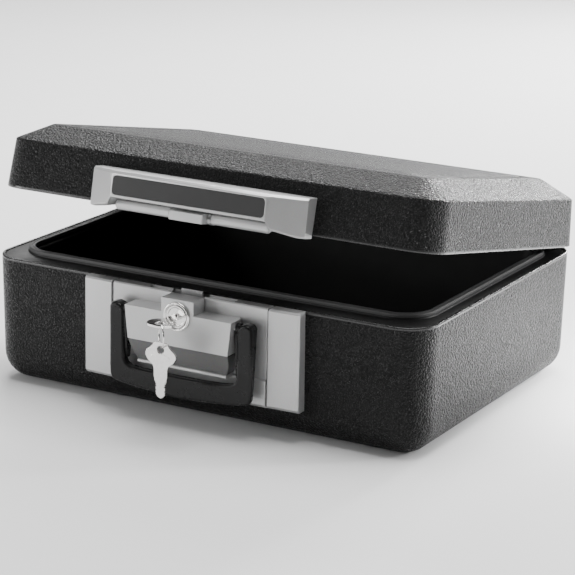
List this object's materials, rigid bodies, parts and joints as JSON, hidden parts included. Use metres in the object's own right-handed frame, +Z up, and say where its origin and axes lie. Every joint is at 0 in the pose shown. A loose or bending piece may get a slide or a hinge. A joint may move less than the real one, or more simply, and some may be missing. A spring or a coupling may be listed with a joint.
{
  "type": "fireproof document box",
  "caption": "Insulated fire-resistant document box with a hinged lid, key lock with hanging spare key, sprung lid latch and a folding bail carry handle.",
  "frame": {"origin": "centre of the flat underside of the base shell", "axes": "+X to the right along the long side, -Y out of the front with the lock and the handle, +Z up"},
  "size_m": [0.406, 0.3753, 0.2148],
  "materials": {
    "shell": "pebbled moulded texture",
    "liner": "smooth moulded",
    "seal": "matt grey",
    "insulation": "cast mineral fill",
    "silver": "satin silver",
    "label": "smooth satin, blank",
    "handle": "satin black",
    "nickel": "polished nickel plate",
    "steel": "zinc plated",
    "bracket": "black coat"
  },
  "bodies": {
    "base": {"base_shell": "shell", "base_insulation": "insulation", "base_liner": "liner", "rim_seal": "seal", "lock_plate": "silver", "plate_screws": "steel", "lock_barrel": "steel", "lock_collar": "nickel", "catch_tab": "steel", "hinge_cups": "bracket", "hinge_cup_screws": "steel", "hinge_pins": "steel", "handle_pins": "steel"},
    "lid": {"lid_shell": "shell", "lid_insulation": "insulation", "lid_liner": "liner", "lid_badge": "silver", "badge_label": "label", "badge_screws": "steel", "hinge_leaves": "bracket", "hinge_leaf_screws": "steel", "latch_springs": "steel"},
    "latch": {"latch_bar": "silver"},
    "plug": {"lock_plug": "nickel", "lock_cam": "steel", "cam_screw": "steel", "lock_key": "nickel"},
    "ring": {"key_ring": "nickel"},
    "hanging_key": {"spare_key": "nickel"},
    "handle": {"carry_handle": "handle"}
  },
  "joints": [
    {"name": "lid_hinge", "type": "hinge", "parent": "base", "child": "lid", "pos_m": [0, 0.145, 0.091], "axis": [-1, 0, 0], "range_deg": [-10.96, 83.66]},
    {"name": "latch_press", "type": "hinge", "parent": "lid", "child": "latch", "pos_m": [0, -0.156, 0.17176], "axis": [-1, 0, 0], "range_deg": [0, 10], "stiffness_Nm_per_rad": 0.1, "springref_deg": -20.05},
    {"name": "plug_turn", "type": "hinge", "parent": "base", "child": "plug", "pos_m": [0, -0.17, 0.0945], "axis": [0, 1, 0], "range_deg": [0, 90]},
    {"name": "handle_swing", "type": "hinge", "parent": "base", "child": "handle", "pos_m": [0, -0.1695, 0.091], "axis": [-1, 0, 0], "range_deg": [0, 78]},
    {"name": "ring_swing", "type": "hinge", "parent": "base", "child": "ring", "pos_m": [0, -0.2034, 0.0945], "axis": [-1, 0, 0], "range_deg": [0, 78]},
    {"name": "key_swing", "type": "hinge", "parent": "ring", "child": "hanging_key", "pos_m": [0.00401, -0.20786, 0.0773], "axis": [0, 1, 0], "range_deg": [-15, 15]}
  ],
  "couplings": [
    {"joint": "ring_swing", "follows": "handle_swing", "ratio": 1}
  ]
}
